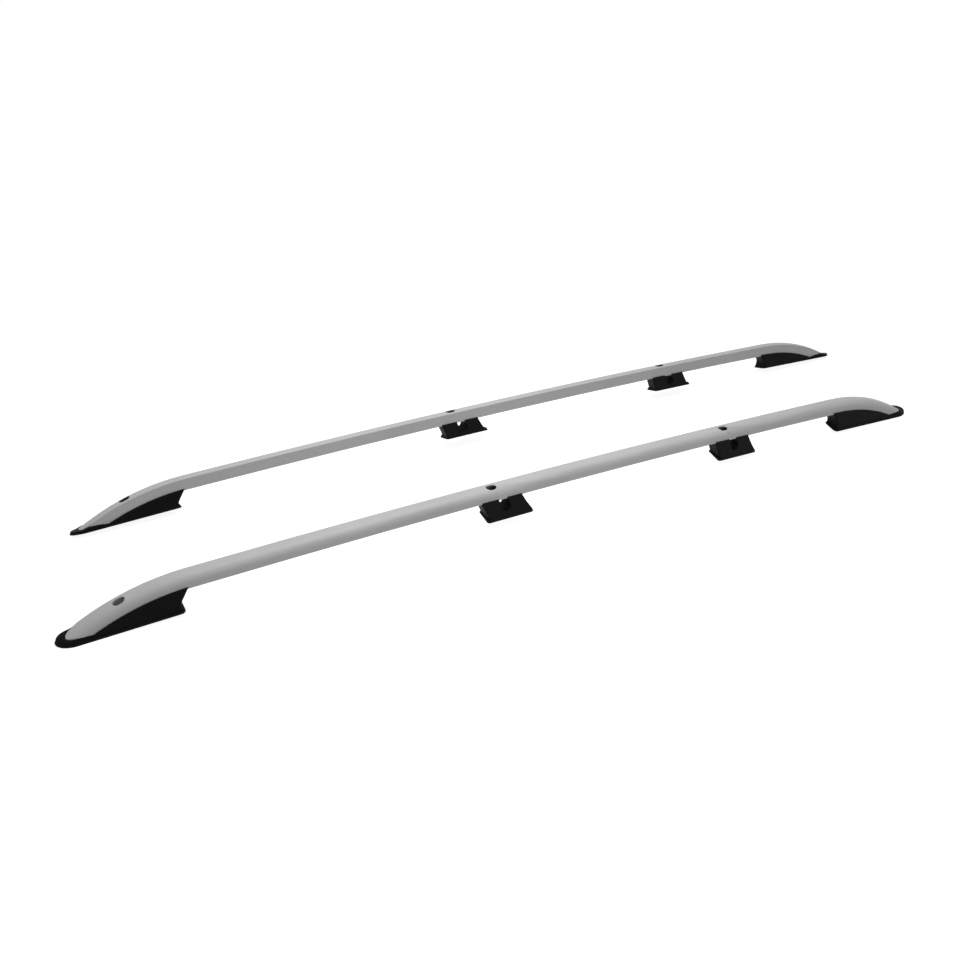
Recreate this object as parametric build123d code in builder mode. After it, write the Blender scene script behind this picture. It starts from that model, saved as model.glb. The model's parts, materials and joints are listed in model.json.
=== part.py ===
from build123d import *
import math
import os

os.makedirs("parts", exist_ok=True)

# Layout of the pair in millimetres: X runs along the rails with the front at +X, Z is up
rail_length = 2000.0
rail_spacing = 364.0
rail_stagger = 100.0
roof_rise = 19.3
roof_camber = 14.0

# Rail tube: hollow section with a flat inner wall and a broad rounding over its outer edge
tube_width = 30.0
tube_height = 25.0
tube_wall = 2.0
outer_edge_radius = 15.0
inner_edge_radius = 3.0
lower_edge_radius = 2.0
tube_clear = 39.2
bend_radius = 420.0
bend_reach = 238.0
tip_setback = 17.5
tip_rounding = 38.0

# Oblong openings in the top of the tube, through which the mounting bolts are reached
access_length = 22.0
access_width = 16.0

# End feet
rear_foot_length = 223.0
front_foot_length = 240.0
foot_width = 41.0
nose_length = 34.0
inner_corner_radius = 9.0
plate_thickness = 3.0
plate_draft = 25.0
body_base_width = 36.0
foot_lip_height = 3.4
end_flare = 2.5
end_waist = 4.5
end_waist_height = 15.0
end_waist_radius = 14.0
end_overhang = 12.0
end_corner_radius = 4.0
bolt_reach = 116.0

# Middle supports, raked so that their tops stand behind their bases
support_length = 107.0
support_width = 41.0
support_corner_radius = 6.0
rear_support_at = 885.0
front_support_at = 1467.0
support_base_width = 37.0
lip_thickness = 2.2
support_lip_height = 2.2
rear_face_inset = 5.2
rear_face_overhang = 12.0
rear_edge_radius = 5.0
front_face_inset = 1.5
front_face_rake = 27.0
front_face_hollow = 1.7
front_edge_radius = 2.0
notch_width = 18.8
notch_rake = 22.5
notch_floor = 12.0
notch_at = 44.4
support_bolt_inset = 18.0

# Rubber seals under the feet and supports
seal_thickness = 2.5
seal_lip = 1.2

# Steel bushes that carry the clamping force of the mounting bolts
bolt_hole_diameter = 6.6
bush_diameter = 9.0
bush_flange_diameter = 14.0
bush_flange_thickness = 1.5
bush_recess = 6.0
bush_clearance = 0.1

# Tapped steel inserts moulded into the front feet
insert_diameter = 10.0
insert_collar_diameter = 14.0
insert_collar_thickness = 3.0
insert_cover = 4.0
insert_floor = 2.5
tapping_diameter = 5.0

# Self-tapping screws that hold the tube down on its feet and supports
screw_diameter = 4.2
screw_length = 16.0
screw_head_diameter = 8.0
screw_head_height = 2.6
screw_drive_width = 4.0
screw_drive_depth = 1.6
screw_grip = 9.0
screw_clearance = 0.2
thread_clearance = 0.05
foot_screw_insets = (22.0, 64.0)
support_screw_inset = 36.0

# Heights and curves that follow from the sizes above; the outer rim of the noses stands at zero
half_length = rail_length / 2
roof_radius = (half_length**2 + roof_rise**2) / (2 * roof_rise)
camber = math.radians(roof_camber)
base_depth = foot_width * math.tan(camber)
nose_rise = nose_length * (half_length - rear_foot_length / 2) / roof_radius
camber_drop = math.hypot(nose_rise, foot_width / 2 * math.sin(camber)) - nose_rise
roof_centre = camber_drop + roof_rise - roof_radius
under_radius = roof_radius + tube_clear
seat_height = seal_thickness + plate_thickness
tube_top = tube_clear + tube_height
well_radius = screw_head_diameter / 2 + screw_clearance
foot_length = {-1: rear_foot_length, 1: front_foot_length}
support_at = {-1: rear_support_at - half_length, 1: front_support_at - half_length}
end_names = {-1: "rear", 1: "front"}
rail_names = {-1: "right", 1: "left"}
bush_start = bush_diameter / 2 * math.tan(camber) + bush_clearance
insert_start = insert_diameter / 2 * math.tan(camber) + bush_clearance
bend_sweep = math.degrees(math.acos(1 - (tube_top + base_depth) / (bend_radius + tube_height)))


def roof_frame(side, x):
    """Plane standing on the roof line of one rail, x forward and z square to the roof."""
    tilt = math.asin(x / roof_radius)
    height = roof_centre + roof_radius * math.cos(tilt)
    return Plane(
        origin=(side * rail_stagger / 2 + x, side * rail_spacing / 2, height),
        x_dir=(math.cos(tilt), 0, -math.sin(tilt)),
        z_dir=(math.sin(tilt), 0, math.cos(tilt)),
    )


def foot_frame(side, end):
    """Plane under one end foot, from the tip of its nose along its flat base, z up."""
    nose = roof_frame(side, end * half_length).origin
    inner = roof_frame(side, end * (half_length - foot_length[end])).origin
    along = (inner - nose).normalized()
    return Plane(origin=nose, x_dir=along, z_dir=along.cross(Vector(0, -end, 0)))


def lean_out(frame, side):
    """The same frame on the cambered roof, which falls away on the outer side of a rail."""
    up = frame.z_dir * math.cos(camber) + Vector(0, side, 0) * math.sin(camber)
    return Plane(origin=frame.origin, x_dir=frame.x_dir, z_dir=up)


def lean(base, top, height, level):
    """Where a straight line from the base line to a point at a height passes a level."""
    return base + (top - base) * level / height


def flank_plane(frame):
    """Side view of a frame: its x axis to the right and its z axis up."""
    return Plane(origin=frame.origin, x_dir=frame.x_dir, z_dir=frame.y_dir * -1)


def cross_plane(frame):
    """Cross-section of a frame: its y axis to the right and its z axis up."""
    return Plane(origin=frame.origin, x_dir=frame.y_dir, z_dir=frame.x_dir)


def joint_angle(end):
    """Angle from the crown of the roof at which the end bend takes over from the long arch."""
    return end * math.degrees(math.asin((half_length - bend_reach) / under_radius))


def rail_point(side, radius, angle):
    """Point at a radius from the roof's centre of curvature, in the middle plane of one rail."""
    turn = math.radians(angle)
    return Vector(
        side * rail_stagger / 2 + radius * math.sin(turn),
        side * rail_spacing / 2,
        roof_centre + radius * math.cos(turn),
    )


def section_plane(side, angle):
    """Plane across the tube at its underside, x outwards and y up."""
    turn = math.radians(angle)
    return Plane(
        origin=rail_point(side, under_radius, angle),
        x_dir=(0, side, 0),
        z_dir=(side * math.cos(turn), 0, -side * math.sin(turn)),
    )


def bend_joint(side, end, above):
    """Where the end bend takes over at a distance above the underside, in the frame of the foot."""
    joint = rail_point(side, under_radius + above, joint_angle(end))
    return foot_frame(side, end).to_local_coords(joint)


def underside(side, end, reach, above=0.0):
    """Height over a foot's base line of the tube's underside, or of a curve above it."""
    radius = bend_radius if reach < bend_joint(side, end, above).X else under_radius
    centre = rail_point(side, under_radius - radius, joint_angle(end))
    local = foot_frame(side, end).to_local_coords(centre)
    return local.Z + math.sqrt((radius + above) ** 2 - (reach - local.X) ** 2)


def landing(side, end, height, above):
    """Distance from the nose at which a curve above the underside comes down to a height."""
    centre = rail_point(side, under_radius - bend_radius, joint_angle(end))
    local = foot_frame(side, end).to_local_coords(centre)
    return local.X - math.sqrt((bend_radius + above) ** 2 - (height - local.Z) ** 2)


def tube_section(plane, hollow):
    """Section of the tube, as a closed outline or as the extruded wall."""
    half = tube_width / 2
    with BuildSketch(plane) as profile:
        with BuildLine():
            Polyline((-half, 0), (half, 0), (half, tube_height), (-half, tube_height), close=True)
        make_face()
        corners = profile.vertices()
        fillet(corners.sort_by_distance((half, tube_height))[0], outer_edge_radius)
        fillet(corners.sort_by_distance((-half, tube_height))[0], inner_edge_radius)
        fillet(corners.sort_by(Axis.Y)[0:2], lower_edge_radius)
        if hollow:
            offset(amount=-tube_wall, mode=Mode.SUBTRACT)
    return profile.sketch


def wall_section(plane):
    return tube_section(plane, True)


def solid_section(plane):
    return tube_section(plane, False)


def follow_rail(side, section, mode=Mode.ADD):
    """Carry a section along the arch of one rail and down both of its end bends."""
    rear, front = joint_angle(-1), joint_angle(1)
    arch_axis = Axis(rail_point(side, 0, 0), (0, 1, 0))
    revolve(section(section_plane(side, rear)), arch_axis, revolution_arc=front - rear, mode=mode)
    for end in (-1, 1):
        angle = joint_angle(end)
        bend_axis = Axis(rail_point(side, under_radius - bend_radius, angle), (0, end, 0))
        revolve(section(section_plane(side, angle)), bend_axis, revolution_arc=bend_sweep, mode=mode)


def trim_ends(side):
    """Cut both ends of a rail flat where they stand on the feet, and round their tips in plan."""
    for end in (-1, 1):
        with BuildSketch(lean_out(foot_frame(side, end), side).offset(seat_height)) as below:
            Rectangle(foot_length[end], 2 * foot_width)
        extrude(below.sketch, amount=-2 * tube_top, mode=Mode.SUBTRACT)
        with BuildSketch(foot_frame(side, end).offset(-base_depth)) as beyond:
            with Locations((tip_setback + tip_rounding, 0)):
                Rectangle(foot_length[end], 2 * foot_width, align=(Align.MAX, Align.CENTER))
                Ellipse(tip_rounding, tube_width / 2 + tube_wall / 4, mode=Mode.SUBTRACT)
        extrude(beyond.sketch, amount=2 * tube_top, mode=Mode.SUBTRACT)


def rail_core(side):
    """The rail as a solid bar, to cut the saddles that it lies in."""
    with BuildPart() as core:
        follow_rail(side, solid_section)
        trim_ends(side)
    return core.part


def foot_plan(length, margin):
    """Plan of a foot with an elliptical nose and a rounded inner end, drawn inside a margin."""
    half = foot_width / 2 - margin
    straight = length - margin - nose_length
    with BuildSketch() as plan:
        with Locations((nose_length, 0)):
            Ellipse(nose_length - margin, half)
            Rectangle(straight, 2 * half, align=(Align.MIN, Align.CENTER))
        inner_end = plan.vertices().sort_by(Axis.X)[-2:]
        fillet(inner_end, inner_corner_radius - margin)
    return plan.sketch


def foot_spot(side, end, reach):
    """Upright frame on a foot's base line, at a distance from the nose."""
    frame = foot_frame(side, end)
    return Plane(frame.from_local_coords(Vector(reach, 0, 0)), frame.x_dir, frame.z_dir)


def foot_bolt(side):
    """Frame of the mounting bolt in the rear foot and the height of its bush's seat."""
    return foot_spot(side, -1, bolt_reach), underside(side, -1, bolt_reach) - bush_recess


def foot_insert(side):
    """Frame of the tapped insert in the front foot and the height of its top."""
    return foot_spot(side, 1, bolt_reach), underside(side, 1, bolt_reach) - insert_cover


def support_bolt(side, end):
    """Frame of the mounting bolt in a support and the height of its bush's seat."""
    inset = support_bolt_inset - support_length / 2
    return roof_frame(side, support_at[end] + inset), tube_clear + tube_wall


def foot_screws(side, end):
    """Frame and height of the head's shoulder for each screw of a foot."""
    spots = []
    for inset in foot_screw_insets:
        reach = foot_length[end] - inset
        spots.append((foot_spot(side, end, reach), underside(side, end, reach) - screw_grip))
    return spots


def support_screw(side, end):
    """Frame and height of the head's shoulder for the screw of a support."""
    forward = support_length / 2 - support_screw_inset
    return roof_frame(side, support_at[end] + forward), tube_clear - screw_grip


def drill(spot, radius, bottom, top):
    """Cut a round hole between two heights of a frame."""
    with BuildSketch(spot.offset(bottom)) as hole:
        Circle(radius)
    extrude(hole.sketch, amount=top - bottom, mode=Mode.SUBTRACT)


def drill_for_screws(spots):
    """Clearance holes with wells for the heads, open at the base."""
    for spot, shoulder in spots:
        drill(spot, screw_diameter / 2 + screw_clearance, 0, tube_top)
        drill(spot, well_radius, -base_depth, shoulder)


def finish(piece, name):
    piece.part.label = name
    export_step(piece.part, f"parts/{name}.step")


def make_tube(side):
    with BuildPart() as tube:
        follow_rail(side, wall_section)
        trim_ends(side)
        spot, bush_seat = foot_bolt(side)
        with BuildSketch(spot.offset(bush_seat)):
            SlotOverall(access_length, access_width)
        extrude(amount=tube_top, mode=Mode.SUBTRACT)
        for end in (-1, 1):
            spot, bush_seat = support_bolt(side, end)
            with BuildSketch(spot.offset(tube_clear + tube_height / 2)):
                SlotOverall(access_length, access_width)
            extrude(amount=tube_height, mode=Mode.SUBTRACT)
            drill(spot, bush_diameter / 2 + bush_clearance, tube_clear / 2, bush_seat + tube_wall)
            for spot, shoulder in [*foot_screws(side, end), support_screw(side, end)]:
                wall_top = shoulder + screw_grip + tube_height / 2
                drill(spot, screw_diameter / 2 + thread_clearance, shoulder, wall_top)
    finish(tube, f"{rail_names[side]}_rail_tube")


def make_foot(side, end, core):
    frame = foot_frame(side, end)
    base = lean_out(frame, side)
    length = foot_length[end]
    plate_end = length - seal_lip
    overhang = length + end_overhang
    waist = (plate_end - end_waist, end_waist_height)
    joint = bend_joint(side, end, foot_lip_height)
    toe = landing(side, end, -base_depth, foot_lip_height)
    lip_top = tube_clear + foot_lip_height
    base_half = body_base_width / 2
    top_half = tube_width / 2 + lip_thickness
    low_half = lean(base_half, top_half, lip_top, -base_depth)
    high_half = lean(base_half, top_half, lip_top, tube_top)

    def lip_point(reach):
        return (reach, underside(side, end, reach, foot_lip_height))

    with BuildPart() as foot:
        # Side view: lips follow the tube down its bend, and the hollowed inner end leans out below it
        with BuildSketch(flank_plane(frame)) as flank:
            with BuildLine():
                ThreePointArc(lip_point(toe), lip_point((toe + joint.X) / 2), (joint.X, joint.Z))
                ThreePointArc(
                    (joint.X, joint.Z), lip_point((joint.X + overhang) / 2), lip_point(overhang)
                )
                Polyline(
                    lip_point(overhang),
                    waist,
                    (plate_end - end_flare, 0),
                    (plate_end - end_flare, -base_depth),
                    lip_point(toe),
                )
            make_face()
            fillet(flank.vertices().sort_by_distance(waist)[0], end_waist_radius)
        extrude(amount=foot_width, both=True)
        # Cross-section: the flanks draw in a little towards the lips
        with BuildSketch(cross_plane(frame)):
            with BuildLine():
                Polyline(
                    (-low_half, -base_depth),
                    (low_half, -base_depth),
                    (high_half, tube_top),
                    (-high_half, tube_top),
                    close=True,
                )
            make_face()
        extrude(amount=length + 2 * end_overhang, mode=Mode.INTERSECT)
        flat_faces = foot.faces().filter_by(GeomType.PLANE)
        end_face = flat_faces.sort_by(Axis(frame.origin, frame.x_dir))[-1]
        fillet(end_face.edges().filter_by(Axis.Y, reverse=True), end_corner_radius)
        split(bisect_by=base.offset(seal_thickness), keep=Keep.TOP)
        add(core, mode=Mode.SUBTRACT)
        # Base plate with a drafted rim
        with BuildSketch(base.offset(seal_thickness)):
            add(foot_plan(length, seal_lip))
        extrude(amount=plate_thickness, taper=plate_draft)
        drill_for_screws(foot_screws(side, end))
        if end < 0:
            spot, bush_seat = foot_bolt(side)
            drill(spot, bush_diameter / 2 + bush_clearance, -base_depth, tube_top)
            drill(spot, bush_flange_diameter / 2 + bush_clearance, bush_seat, tube_top)
        else:
            spot, insert_top = foot_insert(side)
            collar = insert_top - insert_collar_thickness
            drill(spot, insert_diameter / 2 + bush_clearance, -base_depth, insert_top)
            drill(spot, insert_collar_diameter / 2 + bush_clearance, collar, insert_top)
    finish(foot, f"{rail_names[side]}_{end_names[end]}_foot")


def make_foot_seal(side, end):
    with BuildPart() as seal:
        with BuildSketch(lean_out(foot_frame(side, end), side)):
            add(foot_plan(foot_length[end], 0))
        extrude(amount=seal_thickness, taper=plate_draft)
        shank = bush_diameter if end < 0 else insert_diameter
        drill(foot_spot(side, end, bolt_reach), shank / 2 + bush_clearance, -base_depth, base_depth)
        for spot, shoulder in foot_screws(side, end):
            drill(spot, well_radius, -base_depth, base_depth)
    finish(seal, f"{rail_names[side]}_{end_names[end]}_foot_seal")


def make_support(side, end, core):
    frame = roof_frame(side, support_at[end])
    base = lean_out(frame, side)
    rear = -support_length / 2
    front = support_length / 2
    lip_top = tube_clear + support_lip_height
    rear_head = rear - rear_face_overhang
    rear_toe = lean(rear + rear_face_inset, rear_head, lip_top, -base_depth)
    front_head = front - front_face_rake
    front_toe = lean(front - front_face_inset, front_head, lip_top, -base_depth)
    hollow = ((front_toe + front_head) / 2 - front_face_hollow, (lip_top - base_depth) / 2)
    base_half = support_base_width / 2
    top_half = tube_width / 2 + lip_thickness
    low_half = lean(base_half, top_half, lip_top, -base_depth)
    rake = math.radians(notch_rake)
    notch_radius = notch_width / 2
    notch_centre = Vector(rear + notch_at, notch_floor + notch_radius)
    across = Vector(math.cos(rake), math.sin(rake)) * notch_radius
    upward = Vector(-math.sin(rake), math.cos(rake)) * lip_top
    with BuildPart() as support:
        # Side view: both end faces rake backwards on their way up, the front one a little hollow
        with BuildSketch(flank_plane(frame)):
            with BuildLine():
                ThreePointArc((front_toe, -base_depth), hollow, (front_head, lip_top))
                Polyline(
                    (front_head, lip_top),
                    (rear_head, lip_top),
                    (rear_toe, -base_depth),
                    (front_toe, -base_depth),
                )
            make_face()
        extrude(amount=support_width, both=True)
        with BuildSketch(cross_plane(frame).offset(-support_length)):
            with BuildLine():
                Polyline(
                    (-low_half, -base_depth),
                    (low_half, -base_depth),
                    (top_half, lip_top),
                    (-top_half, lip_top),
                    close=True,
                )
            make_face()
        extrude(amount=2 * support_length, mode=Mode.INTERSECT)
        split(bisect_by=base.offset(seal_thickness), keep=Keep.TOP)
        for ends, radius in ((slice(-2, None), front_edge_radius), (slice(0, 2), rear_edge_radius)):
            upright = support.edges().filter_by(lambda edge: abs((edge % 0.5).Z) > 0.5)
            fillet(upright.sort_by(Axis(frame.origin, frame.x_dir))[ends], radius)
        # Raked notch through the block, open towards the tube
        with BuildSketch(flank_plane(frame)):
            with BuildLine():
                Polyline(
                    notch_centre - across,
                    notch_centre + across,
                    notch_centre + across + upward,
                    notch_centre - across + upward,
                    close=True,
                )
            make_face()
            with Locations(notch_centre):
                Circle(notch_radius)
        extrude(amount=support_width, both=True, mode=Mode.SUBTRACT)
        add(core, mode=Mode.SUBTRACT)
        with BuildSketch(base.offset(seal_thickness)):
            RectangleRounded(
                support_length - 2 * seal_lip,
                support_width - 2 * seal_lip,
                support_corner_radius - seal_lip,
            )
        extrude(amount=plate_thickness, taper=plate_draft)
        drill_for_screws([support_screw(side, end)])
        spot, bush_seat = support_bolt(side, end)
        drill(spot, bush_diameter / 2 + bush_clearance, -base_depth, bush_seat)
    finish(support, f"{rail_names[side]}_{end_names[end]}_support")


def make_support_seal(side, end):
    with BuildPart() as seal:
        with BuildSketch(lean_out(roof_frame(side, support_at[end]), side)):
            RectangleRounded(support_length, support_width, support_corner_radius)
        extrude(amount=seal_thickness, taper=plate_draft)
        spot, bush_seat = support_bolt(side, end)
        drill(spot, bush_diameter / 2 + bush_clearance, -base_depth, base_depth)
        spot, shoulder = support_screw(side, end)
        drill(spot, well_radius, -base_depth, base_depth)
    finish(seal, f"{rail_names[side]}_{end_names[end]}_support_seal")


def make_bushes(side, spots, name):
    with BuildPart() as bushes:
        for spot, bush_seat in spots:
            with BuildSketch(spot.offset(bush_start)):
                Circle(bush_diameter / 2)
            extrude(amount=bush_seat - bush_start)
            with BuildSketch(spot.offset(bush_seat)):
                Circle(bush_flange_diameter / 2)
            extrude(amount=bush_flange_thickness)
            drill(spot, bolt_hole_diameter / 2, 0, bush_seat + bush_flange_thickness)
    finish(bushes, f"{rail_names[side]}_{name}")


def make_insert(side):
    spot, insert_top = foot_insert(side)
    with BuildPart() as insert:
        with BuildSketch(spot.offset(insert_start)):
            Circle(insert_diameter / 2)
        extrude(amount=insert_top - insert_start)
        with BuildSketch(spot.offset(insert_top)):
            Circle(insert_collar_diameter / 2)
        extrude(amount=-insert_collar_thickness)
        drill(spot, tapping_diameter / 2, 0, insert_top - insert_floor)
    finish(insert, f"{rail_names[side]}_front_foot_insert")


def make_screws(side):
    with BuildPart() as screws:
        for end in (-1, 1):
            for spot, shoulder in [*foot_screws(side, end), support_screw(side, end)]:
                with BuildSketch(spot.offset(shoulder)):
                    Circle(screw_diameter / 2)
                extrude(amount=screw_length)
                with BuildSketch(spot.offset(shoulder)):
                    Circle(screw_head_diameter / 2)
                extrude(amount=-screw_head_height)
                with BuildSketch(spot.offset(shoulder - screw_head_height)):
                    RegularPolygon(screw_drive_width / 2, 6)
                extrude(amount=screw_drive_depth, mode=Mode.SUBTRACT)
    finish(screws, f"{rail_names[side]}_base_screws")


for side in (-1, 1):
    core = rail_core(side)
    make_tube(side)
    make_bushes(side, [foot_bolt(side)], "rear_foot_bush")
    make_insert(side)
    make_bushes(side, [support_bolt(side, end) for end in (-1, 1)], "support_bushes")
    make_screws(side)
    for end in (-1, 1):
        make_foot(side, end, core)
        make_foot_seal(side, end)
        make_support(side, end, core)
        make_support_seal(side, end)
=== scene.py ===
import bmesh
import bpy
import json
import math
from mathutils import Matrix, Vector


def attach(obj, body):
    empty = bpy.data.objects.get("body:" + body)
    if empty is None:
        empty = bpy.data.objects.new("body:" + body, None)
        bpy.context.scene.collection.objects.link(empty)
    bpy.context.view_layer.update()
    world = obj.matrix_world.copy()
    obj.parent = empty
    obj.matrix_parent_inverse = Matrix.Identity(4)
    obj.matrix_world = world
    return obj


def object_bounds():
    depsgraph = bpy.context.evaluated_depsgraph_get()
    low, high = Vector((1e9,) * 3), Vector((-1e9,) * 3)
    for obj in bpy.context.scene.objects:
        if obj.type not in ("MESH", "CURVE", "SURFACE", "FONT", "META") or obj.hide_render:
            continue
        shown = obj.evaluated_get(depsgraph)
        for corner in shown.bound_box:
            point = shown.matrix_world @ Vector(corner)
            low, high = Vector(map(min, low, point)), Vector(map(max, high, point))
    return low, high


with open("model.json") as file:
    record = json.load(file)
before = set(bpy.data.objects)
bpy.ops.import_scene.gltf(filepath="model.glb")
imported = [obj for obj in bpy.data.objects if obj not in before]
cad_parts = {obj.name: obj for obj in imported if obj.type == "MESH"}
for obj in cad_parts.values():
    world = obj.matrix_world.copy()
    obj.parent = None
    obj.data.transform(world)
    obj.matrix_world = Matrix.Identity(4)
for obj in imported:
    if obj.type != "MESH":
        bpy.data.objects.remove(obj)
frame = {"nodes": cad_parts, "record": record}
cad_low, cad_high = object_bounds()
nodes = frame["nodes"]

# Camera of the photograph, in metres and degrees, with its focal length in pixels of the square frame
camera_place = Vector((-1.2074, -1.9492, 1.1628))
camera_heading = 29.05
camera_dip = 27.53
focal_pixels = 1165.0
frame_pixels = 960
sensor_width = 36.0

# Studio: a soft panel over the middle of the rails, one from the viewer's side and an even surround
ambient_strength = 0.34
top_panel = {
    "place": (-0.17, -0.05, 1.5),
    "aim": (-0.17, 0.0, 0.0),
    "size": (1.0, 0.8),
    "power": 20.4,
}
front_panel = {
    "place": (-0.1, -1.9, 0.6),
    "aim": (0.05, 0.0, 0.05),
    "size": (1.4, 0.6),
    "power": 7.4,
}
floor_size = 60.0
floor_gap = 0.0004
floor_albedo = 0.3
floor_glow = 0.91

# Painted shade inside the tubes, from an occlusion test: how far a wall looks for cover, and the open
# shares that count as inside and outside
shade_cover_distance = 0.03
shade_cover_samples = 8
inside_share = 0.15
outside_share = 0.5
# Factor on the colour inside the tube: painted light under the right rail's rear opening and painted shade
# further on, and where along X the one stops and the other starts
rear_painted_light = 2.2
front_painted_shade = 0.06
rear_stop = -0.89
front_start = -0.87

# Noses of the feet in metres: the sizes that the rims round the tips of the tubes follow
half_length = 1.0
rail_shift = 0.05
rail_offset = 0.182
nose_height = 0.00393
base_slope = math.radians(1.96)
base_camber = math.radians(14.0)
plate_top = 0.0055
nose_length = 0.034
# Half length and half width of a rim's outline round the tip, how far back it runs and how deep it sinks
rim_outer = (0.0314, 0.0179)
rim_inner = (0.0150, 0.0146)
rim_reach = 0.085
rim_sink = 0.0004
# Faces along each quarter of a rim, and across its slope
rim_steps = 14
slope_steps = 6
# Height of a rim over its plate, at distances from the tip of the nose
inner_heights = (
    (0.019, 0.0015),
    (0.026, 0.0015),
    (0.038, 0.0052),
    (0.050, 0.0048),
    (0.085, 0.0002),
)
outer_heights = (
    (0.019, 0.0015),
    (0.030, 0.0045),
    (0.050, 0.0042),
    (0.085, 0.0002),
)


def grey(level):
    """Opaque grey as a colour socket takes it."""
    return (level, level, level, 1.0)


def place_object(name, data):
    """New object in the scene that shows a mesh, a light or a camera."""
    thing = bpy.data.objects.new(name, data)
    bpy.context.scene.collection.objects.link(thing)
    return thing


class Shader:
    """A material's node tree with short ways to add and join nodes."""

    def __init__(self, name):
        self.material = bpy.data.materials.new(name)
        self.material.use_nodes = True
        self.tree = self.material.node_tree
        self.surface = self.tree.nodes["Principled BSDF"]

    def add(self, kind, **settings):
        node = self.tree.nodes.new(kind)
        for key, value in settings.items():
            setattr(node, key, value)
        return node

    def join(self, source, target):
        self.tree.links.new(source, target)

    def set(self, **values):
        """Constants on the surface's own sockets, with underscores for the spaces in their names."""
        for key, value in values.items():
            self.surface.inputs[key.replace("_", " ")].default_value = value

    def coordinates(self, stretch=(1.0, 1.0, 1.0)):
        """Object coordinates in metres, scaled along each axis."""
        place = self.add("ShaderNodeTexCoord")
        mapping = self.add("ShaderNodeMapping")
        mapping.inputs["Scale"].default_value = stretch
        self.join(place.outputs["Object"], mapping.inputs["Vector"])
        return mapping.outputs["Vector"]

    def noise(self, scale, detail=3.0, stretch=(1.0, 1.0, 1.0)):
        """Soft irregular texture between zero and one."""
        texture = self.add("ShaderNodeTexNoise")
        texture.inputs["Scale"].default_value = scale
        texture.inputs["Detail"].default_value = detail
        self.join(self.coordinates(stretch), texture.inputs["Vector"])
        return texture.outputs["Fac"]

    def cells(self, scale, feature="F1"):
        """Texture of small cells, as the distance from each cell's middle."""
        texture = self.add("ShaderNodeTexVoronoi", feature=feature)
        texture.inputs["Scale"].default_value = scale
        self.join(self.coordinates(), texture.inputs["Vector"])
        return texture.outputs["Distance"]

    def spread(self, value, low, high, start=0.3, stop=0.7):
        """Carry a texture's range over to a range of numbers."""
        node = self.add("ShaderNodeMapRange")
        node.inputs["From Min"].default_value = start
        node.inputs["From Max"].default_value = stop
        node.inputs["To Min"].default_value = low
        node.inputs["To Max"].default_value = high
        self.join(value, node.inputs["Value"])
        return node.outputs["Result"]

    def tint(self, value, dark, light, start=0.3, stop=0.7):
        """Colour between a dark and a light grey."""
        ramp = self.add("ShaderNodeValToRGB")
        first, last = ramp.color_ramp.elements
        first.position, first.color = start, grey(dark)
        last.position, last.color = stop, grey(light)
        self.join(value, ramp.inputs["Fac"])
        return ramp.outputs["Color"]

    def relief(self, height, strength, depth):
        """Bump from a height texture."""
        bump = self.add("ShaderNodeBump")
        bump.inputs["Strength"].default_value = strength
        bump.inputs["Distance"].default_value = depth
        self.join(height, bump.inputs["Height"])
        return bump.outputs["Normal"]

    def textured(self, colour, roughness, normal):
        """The finished material, with its three textures joined to the surface."""
        self.join(colour, self.surface.inputs["Base Color"])
        self.join(roughness, self.surface.inputs["Roughness"])
        self.join(normal, self.surface.inputs["Normal"])
        return self.material


def painted_inside_shading(shader):
    """One outside; inside a tube, painted light under the right rail's rear opening and painted shade
    further on, as a factor on the colour.
    """
    occlusion = shader.add("ShaderNodeAmbientOcclusion", samples=shade_cover_samples)
    occlusion.inputs["Distance"].default_value = shade_cover_distance
    shade_mask = shader.spread(occlusion.outputs["AO"], 1.0, 0.0, start=inside_share, stop=outside_share)
    place = shader.add("ShaderNodeSeparateXYZ")
    shader.join(shader.coordinates(), place.inputs["Vector"])
    along = shader.spread(place.outputs["X"], rear_painted_light, front_painted_shade, start=rear_stop, stop=front_start)
    level = shader.add("ShaderNodeMix", data_type="FLOAT")
    level.inputs["A"].default_value = 1.0
    shader.join(shade_mask, level.inputs["Factor"])
    shader.join(along, level.inputs["B"])
    return level.outputs["Result"]


def satin_aluminium():
    """Drawn and anodised tube: fine lines along the rail, soft cloudiness and a satin sheen, with painted
    light and painted shade inside the tube.
    """
    shader = Shader("satin_aluminium")
    shader.set(Metallic=0.15, Specular_IOR_Level=0.3)
    lines = shader.noise(scale=900.0, detail=4.0, stretch=(0.012, 1.0, 1.0))
    clouds = shader.spread(shader.noise(scale=9.0), low=0.2, high=0.45)
    blend = shader.add("ShaderNodeMath", operation="MULTIPLY_ADD")
    blend.inputs[1].default_value = 0.35
    shader.join(lines, blend.inputs[0])
    shader.join(clouds, blend.inputs[2])
    # Colour times the painted light and shade factor inside the tube
    painted_shade_colour = shader.add("ShaderNodeVectorMath", operation="SCALE")
    shader.join(shader.tint(blend.outputs[0], dark=0.40, light=0.45), painted_shade_colour.inputs[0])
    shader.join(painted_inside_shading(shader), painted_shade_colour.inputs["Scale"])
    return shader.textured(
        colour=painted_shade_colour.outputs["Vector"],
        roughness=shader.spread(lines, low=0.38, high=0.52),
        normal=shader.relief(lines, strength=0.10, depth=0.00003),
    )


def grained_plastic(name, level):
    """Black moulding with a fine leathery grain and a faint bloom."""
    shader = Shader(name)
    shader.set(Specular_IOR_Level=0.05)
    grain = shader.cells(scale=1500.0, feature="SMOOTH_F1")
    bloom = shader.noise(scale=26.0, detail=4.0)
    return shader.textured(
        colour=shader.tint(bloom, dark=level * 0.85, light=level * 1.25),
        roughness=shader.spread(bloom, low=0.48, high=0.60),
        normal=shader.relief(grain, strength=0.35, depth=0.00012),
    )


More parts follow.
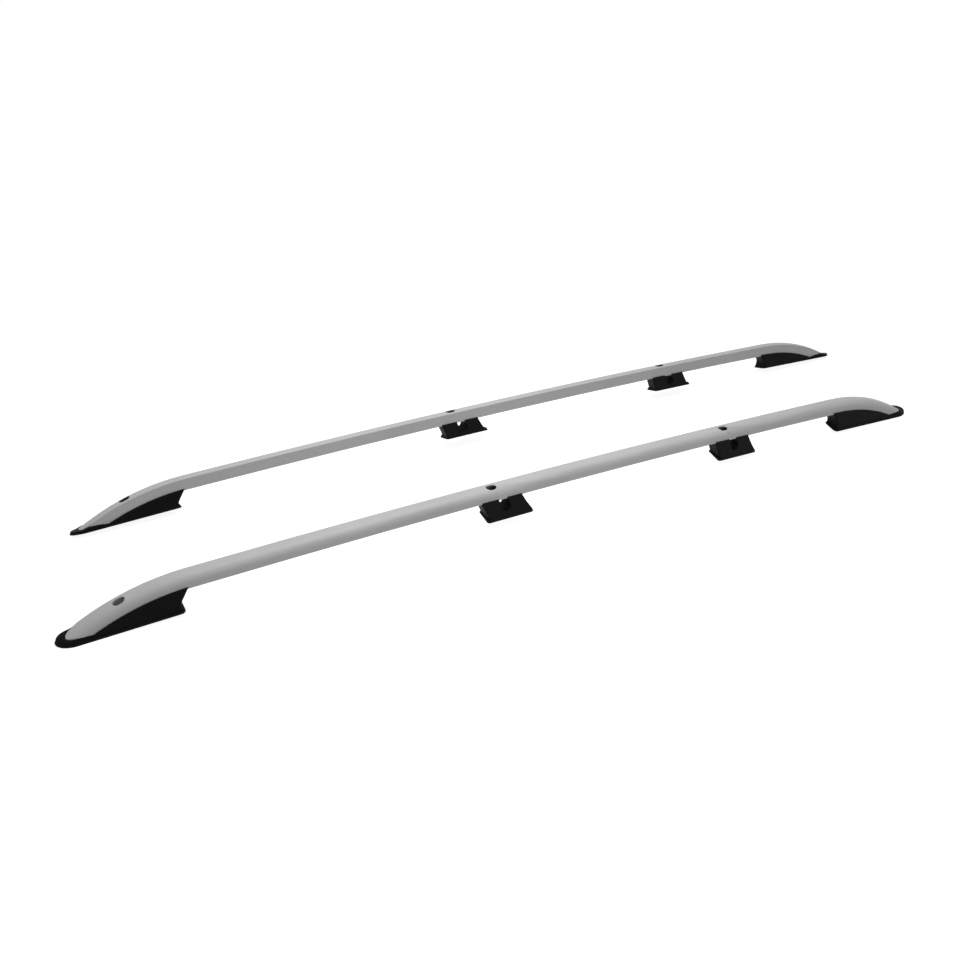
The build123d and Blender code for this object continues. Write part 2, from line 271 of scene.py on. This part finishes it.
def seal_rubber():
    """Soft black rubber, duller than the moulding above it."""
    shader = Shader("seal_rubber")
    shader.set(Specular_IOR_Level=0.12)
    speckle = shader.noise(scale=700.0)
    return shader.textured(
        colour=shader.tint(speckle, dark=0.007, light=0.012),
        roughness=shader.spread(speckle, low=0.70, high=0.85),
        normal=shader.relief(speckle, strength=0.3, depth=0.0001),
    )


def zinc_steel(name, level, metallic=1.0):
    """Turned and zinc plated steel with crystalline patches."""
    shader = Shader(name)
    shader.set(Metallic=metallic)
    patches = shader.cells(scale=420.0)
    turning = shader.noise(scale=2600.0, detail=2.0, stretch=(0.2, 0.2, 1.0))
    return shader.textured(
        colour=shader.tint(patches, dark=level, light=level * 1.2, start=0.1, stop=0.8),
        roughness=shader.spread(turning, low=0.28, high=0.42),
        normal=shader.relief(turning, strength=0.2, depth=0.00004),
    )


def dress_nodes():
    """Give each CAD node the material of its slot in the record, with the supports' bushes in near-black
    steel as painted shade in the openings over the supports.
    """
    looks = {
        "rail_aluminium": satin_aluminium(),
        "foot_plastic": grained_plastic("foot_plastic", level=0.004),
        "support_plastic": grained_plastic("support_plastic", level=0.0068),
        "seal_rubber": seal_rubber(),
        "bush_steel": zinc_steel("bush_steel", level=0.70, metallic=0.3),
        "screw_steel": zinc_steel("screw_steel", level=0.36),
    }
    # Near-black steel on the supports' bushes is painted shade: it stands for the shade seen down the
    # openings over the supports
    shade_black_steel = zinc_steel("shade_black_steel", level=0.02, metallic=0.3)
    for subpart in frame["record"]["subparts"]:
        piece = nodes[subpart["node"]]
        shade_blackened = piece.name.endswith("support_bushes")
        piece.data.materials.clear()
        piece.data.materials.append(shade_black_steel if shade_blackened else looks[subpart["material_slot"]])


def rim_height(outward, reach):
    """Height of a rim on its outer or inner side, eased between the given places."""
    table = outer_heights if outward > 0 else inner_heights
    for (start, low), (stop, high) in zip(table, table[1:]):
        if reach <= stop:
            share = max(0.0, (reach - start) / (stop - start))
            return low + (high - low) * (1 - math.cos(math.pi * share)) / 2
    return table[-1][1]


def rim_runs():
    """Places along a rim as (outward, turn, straight): its inner side, round the tip, its outer side."""
    quarter = math.pi / 2
    straight = rim_reach - nose_length
    shares = [step / rim_steps for step in range(rim_steps)]
    half = [(quarter * share, 0.0) for share in shares]
    half += [(quarter, straight * share) for share in shares + [1.0]]
    return [(-1, *place) for place in reversed(half[1:])] + [(1, *place) for place in half]


def outline_point(radii, outward, turn, straight):
    """Reach and sideways place on an outline that rounds the tip as an ellipse and then runs straight."""
    reach = nose_length - radii[0] * math.cos(turn) + straight
    return Vector((reach, outward * radii[1] * math.sin(turn)))


def rim_section(outward, turn, straight):
    """One cross section of a rim as (reach, sideways, height over the plate) points."""
    outer = outline_point(rim_outer, outward, turn, straight)
    inner = outline_point(rim_inner, outward, turn, straight)
    height = rim_height(outward, inner.x)
    points = []
    for step in range(slope_steps + 1):
        share = step / slope_steps
        points.append((*outer.lerp(inner, share), height * math.sin(share * math.pi / 2)))
    points.append((*inner, -rim_sink))
    points.append((*outer, -rim_sink))
    return points


def nose_point(side, end, reach, sideways, height):
    """Place on the cambered plate of a foot, in the frame of the whole pair."""
    level = (plate_top - sideways * math.sin(base_camber)) / math.cos(base_camber) + height
    along = half_length - reach * math.cos(base_slope) + level * math.sin(base_slope)
    up = nose_height + reach * math.sin(base_slope) + level * math.cos(base_slope)
    return side * rail_shift + end * along, side * (rail_offset + sideways), up


def face_outwards(mesh):
    """Turn the faces of a closed mesh so that they all look out of it."""
    shape = bmesh.new()
    shape.from_mesh(mesh)
    bmesh.ops.recalc_face_normals(shape, faces=shape.faces)
    shape.to_mesh(mesh)
    shape.free()


def make_rim(name, side, end, material):
    """The raised rim of a foot's nose, which wraps the tip of the tube."""
    sections = [rim_section(*run) for run in rim_runs()]
    around = len(sections[0])
    points = [nose_point(side, end, *place) for section in sections for place in section]
    last = len(points) - around
    faces = []
    for low in range(0, last, around):
        high = low + around
        for place in range(around):
            after = (place + 1) % around
            faces.append((low + place, low + after, high + after, high + place))
    faces.append(tuple(range(around)))
    faces.append(tuple(range(last, len(points))))
    mesh = bpy.data.meshes.new(name)
    mesh.from_pydata(points, [], faces)
    face_outwards(mesh)
    mesh.shade_smooth()
    mesh.materials.append(material)
    rim = place_object(name, mesh)
    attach(rim, "root")


def make_rims():
    """One rim on the nose of each foot, in the foot's own plastic."""
    plastic = nodes["right_rear_foot"].data.materials[0]
    for rail, side in (("right", -1), ("left", 1)):
        for place, end in (("rear", -1), ("front", 1)):
            make_rim(f"{rail}_{place}_foot_rim", side, end, plastic)


def seen_directly(tree):
    """One for rays from the camera, mirrors and glass, zero for light that falls on the object."""
    path = tree.nodes.new("ShaderNodeLightPath")
    total = path.outputs["Is Camera Ray"]
    for name in ("Is Glossy Ray", "Is Transmission Ray"):
        either = tree.nodes.new("ShaderNodeMath")
        either.operation = "MAXIMUM"
        tree.links.new(total, either.inputs[0])
        tree.links.new(path.outputs[name], either.inputs[1])
        total = either.outputs[0]
    return total


def make_floor():
    """Pale floor that takes the shadow, with a glow that lifts it to white where it is seen directly."""
    shader = Shader("pale_floor")
    shader.set(Base_Color=grey(floor_albedo), Roughness=0.9, Specular_IOR_Level=0.0)
    shader.set(Emission_Color=grey(1.0))
    glow = shader.add("ShaderNodeMath", operation="MULTIPLY")
    glow.inputs[1].default_value = floor_glow
    shader.join(seen_directly(shader.tree), glow.inputs[0])
    shader.join(glow.outputs[0], shader.surface.inputs["Emission Strength"])
    half = floor_size / 2
    corners = [(-half, -half), (half, -half), (half, half), (-half, half)]
    mesh = bpy.data.meshes.new("floor")
    mesh.from_pydata([(x, y, cad_low.z - floor_gap) for x, y in corners], [], [(0, 1, 2, 3)])
    mesh.materials.append(shader.material)
    floor = place_object("floor", mesh)


def make_world():
    """Even surround that is white where it is seen directly and dimmer as light on the object."""
    world = bpy.data.worlds.new("studio")
    world.use_nodes = True
    bpy.context.scene.world = world
    tree = world.node_tree
    background = tree.nodes["Background"]
    background.inputs["Color"].default_value = grey(1.0)
    strength = tree.nodes.new("ShaderNodeMapRange")
    strength.inputs["To Min"].default_value = ambient_strength
    strength.inputs["To Max"].default_value = 1.0
    tree.links.new(seen_directly(tree), strength.inputs["Value"])
    tree.links.new(strength.outputs["Result"], background.inputs["Strength"])


def make_panel(name, place, aim, size, power):
    """Soft rectangular lamp that lights the object and is not seen itself."""
    light = bpy.data.lights.new(name, "AREA")
    light.shape = "RECTANGLE"
    light.size, light.size_y = size
    light.energy = power
    lamp = place_object(name, light)
    lamp.location = place
    lamp.rotation_euler = (Vector(aim) - Vector(place)).to_track_quat("-Z", "Y").to_euler()
    lamp.visible_camera = False
    lamp.visible_glossy = False


def make_camera():
    """Camera at the photograph's viewing angle."""
    data = bpy.data.cameras.new("camera")
    data.sensor_width = sensor_width
    data.lens = focal_pixels / frame_pixels * sensor_width
    data.clip_end = 4 * floor_size
    camera = place_object("camera", data)
    camera.location = camera_place
    camera.rotation_euler = (math.radians(90 - camera_dip), 0.0, math.radians(-camera_heading))
    bpy.context.scene.camera = camera


dress_nodes()
make_rims()
make_floor()
make_world()
make_panel("top_panel", **top_panel)
make_panel("front_panel", **front_panel)
make_camera()
bpy.context.scene.view_settings.view_transform = "Standard"
